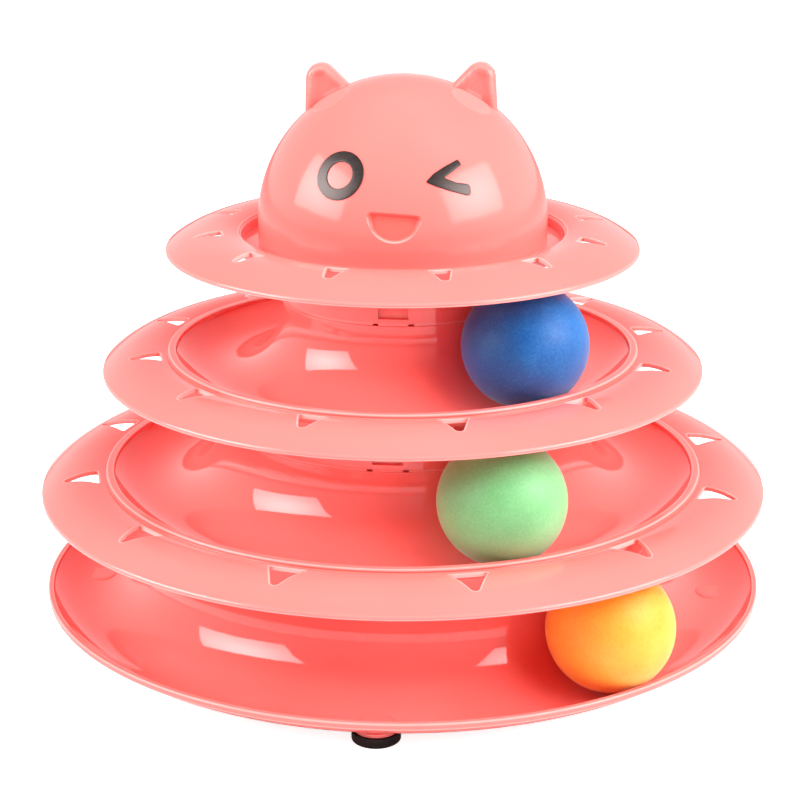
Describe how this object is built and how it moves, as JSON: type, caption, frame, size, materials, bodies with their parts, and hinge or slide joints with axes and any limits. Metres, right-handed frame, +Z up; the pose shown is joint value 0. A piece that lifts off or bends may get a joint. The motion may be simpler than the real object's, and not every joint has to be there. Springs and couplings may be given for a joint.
{
  "type": "cat ball track toy",
  "caption": "Stacked round tower of ball tracks for a cat, with brims pierced by small triangles, a captive ball in each track and a cat-faced dome on top",
  "frame": {"origin": "on the tower's axis, level with the bottoms of the feet", "axes": "+Z is up along the tower's axis, -Y is the side that the face looks to, +X is to the right of someone facing it"},
  "size_m": [0.251, 0.251, 0.1913],
  "materials": {
    "shell": "glossy moulded plastic, coral pink",
    "eyes": "dark grey with a faint metallic sheen",
    "feet": "black rubber",
    "ball_yellow": "matte, finely speckled, orange yellow",
    "ball_green": "matte, finely speckled, light green",
    "ball_blue": "matte, finely speckled, blue"
  },
  "bodies": {
    "tower": {"base_tray": "shell", "middle_track": "shell", "upper_track": "shell", "top_plate": "shell", "head_shell": "shell", "eye_ring": "eyes", "eye_wink": "eyes", "foot_front": "feet", "foot_right": "feet", "foot_back": "feet", "foot_left": "feet"},
    "yellow_ball": {"ball_yellow": "ball_yellow"},
    "green_ball": {"ball_green": "ball_green"},
    "blue_ball": {"ball_blue": "ball_blue"}
  },
  "joints": [
    {"name": "yellow_orbit", "type": "hinge", "parent": "tower", "child": "yellow_ball", "pos_m": [0, 0, 0.0266], "axis": [0, 0, 1], "continuous": true},
    {"name": "green_orbit", "type": "hinge", "parent": "tower", "child": "green_ball", "pos_m": [0, 0, 0.0668], "axis": [0, 0, 1], "continuous": true},
    {"name": "blue_orbit", "type": "hinge", "parent": "tower", "child": "blue_ball", "pos_m": [0, 0, 0.1087], "axis": [0, 0, 1], "continuous": true}
  ]
}
